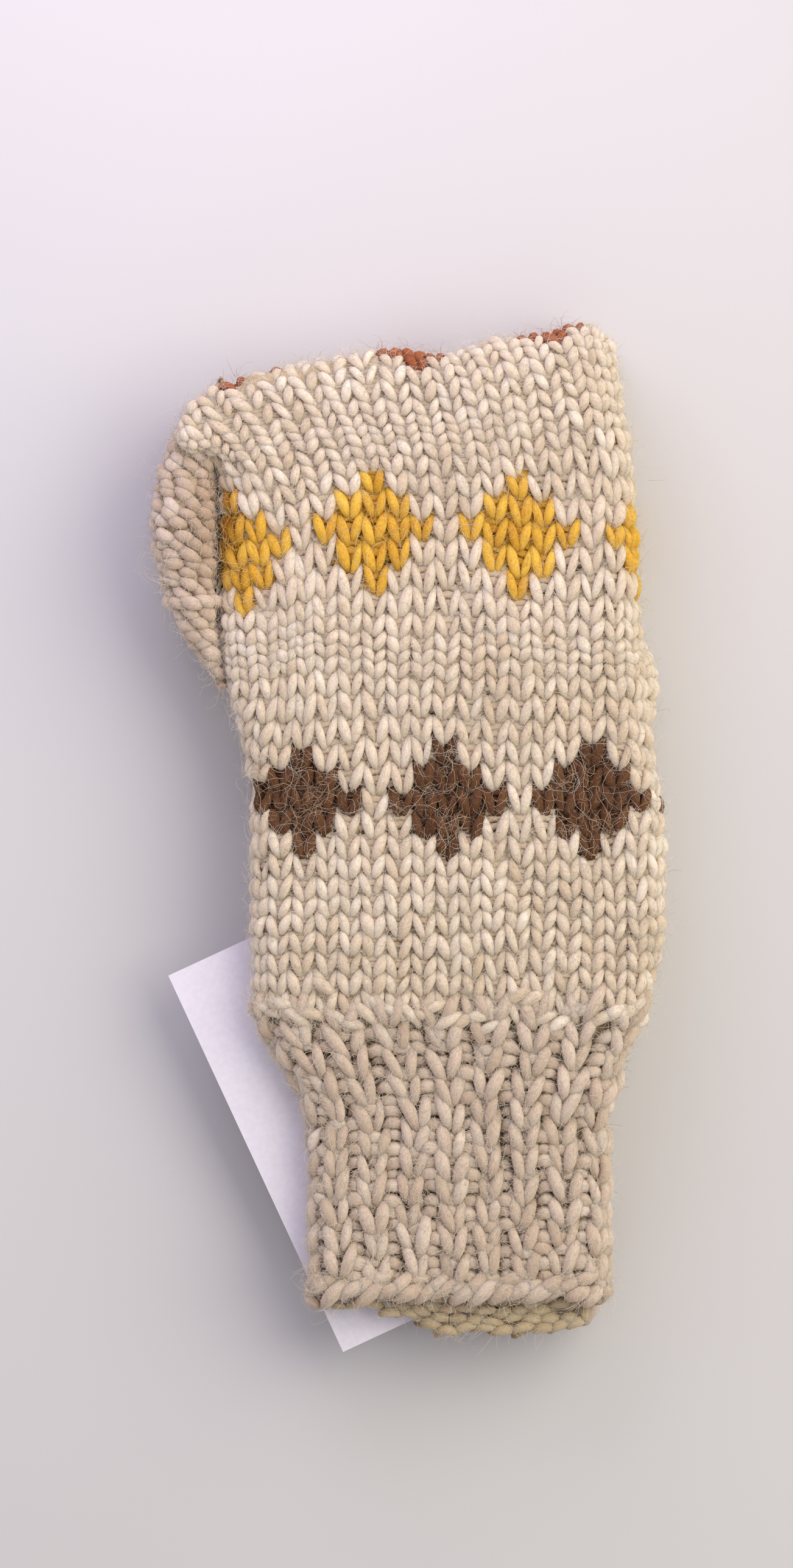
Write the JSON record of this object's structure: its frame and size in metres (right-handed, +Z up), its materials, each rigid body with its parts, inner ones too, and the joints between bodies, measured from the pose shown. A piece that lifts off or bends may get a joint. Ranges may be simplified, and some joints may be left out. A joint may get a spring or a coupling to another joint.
{
  "type": "pair of knitted mittens",
  "caption": "Pair of hand-knitted wool mittens lying palm to palm, with ribbed cuffs, bands of stepped diamonds, separate thumbs and a blank card between them.",
  "frame": {"origin": "on the resting plane, in the middle of the lower mitten's flat under side, 134 mm up from the cuffs' edge", "axes": "+Y from the cuffs to the fingertips, +Z up off the table, +X to the right seen from above with the thumbs at the left"},
  "size_m": [0.1075, 0.2154, 0.03],
  "materials": {
    "cream_wool": "heathered cream wool, soft and fuzzy",
    "brown_wool": "hairy dark brown wool",
    "yellow_wool": "ochre yellow wool with orange and red flecks",
    "rust_wool": "rust brown wool",
    "card": "smooth white card"
  },
  "bodies": {
    "left_mitten": {"left_cast_on_edge": "cream_wool", "left_ribbed_cuff": "cream_wool", "left_cuff_tail": "cream_wool", "left_increase_round": "cream_wool", "left_hand": "cream_wool", "left_brown_diamonds": "brown_wool", "left_yellow_diamonds": "yellow_wool", "left_rust_diamonds": "rust_wool", "left_brown_floats": "brown_wool", "left_yellow_floats": "yellow_wool", "left_rust_floats": "rust_wool", "left_tip_gather": "cream_wool", "left_tip_tail": "cream_wool"},
    "left_thumb": {"left_thumb_gusset": "cream_wool", "left_thumb_ridge": "cream_wool", "left_thumb_tube": "cream_wool", "left_thumb_gather": "cream_wool"},
    "right_cuff": {"right_cast_on_edge": "cream_wool", "right_ribbed_cuff": "cream_wool", "right_cuff_tail": "cream_wool"},
    "right_hand": {"right_increase_round": "cream_wool", "right_hand": "cream_wool", "right_brown_diamonds": "brown_wool", "right_yellow_diamonds": "yellow_wool", "right_rust_diamonds": "rust_wool", "right_brown_floats": "brown_wool", "right_yellow_floats": "yellow_wool", "right_rust_floats": "rust_wool", "right_tip_gather": "cream_wool", "right_tip_tail": "cream_wool"},
    "right_thumb": {"right_thumb_gusset": "cream_wool", "right_thumb_ridge": "cream_wool", "right_thumb_tube": "cream_wool", "right_thumb_gather": "cream_wool"},
    "card": {"label_card": "card"}
  },
  "joints": [
    {"name": "right_mitten_lift", "type": "slide", "parent": "left_mitten", "child": "right_cuff", "axis": [0, 0, 1], "range_m": [0, 0.08]},
    {"name": "right_wrist_fold", "type": "hinge", "parent": "right_cuff", "child": "right_hand", "pos_m": [0, -0.0761, 0.0292], "axis": [1, 0, 0], "range_deg": [0, 55]},
    {"name": "right_thumb_swing", "type": "hinge", "parent": "right_hand", "child": "right_thumb", "pos_m": [-0.0488, -0.0076, 0.02275], "axis": [0, 0, 1], "range_deg": [0, 40]},
    {"name": "left_thumb_swing", "type": "hinge", "parent": "left_mitten", "child": "left_thumb", "pos_m": [-0.0488, -0.0076, 0.00725], "axis": [0, 0, 1], "range_deg": [0, 40]},
    {"name": "card_pull", "type": "slide", "parent": "left_mitten", "child": "card", "axis": [-0.907, -0.421, 0], "range_m": [0, 0.055]}
  ]
}
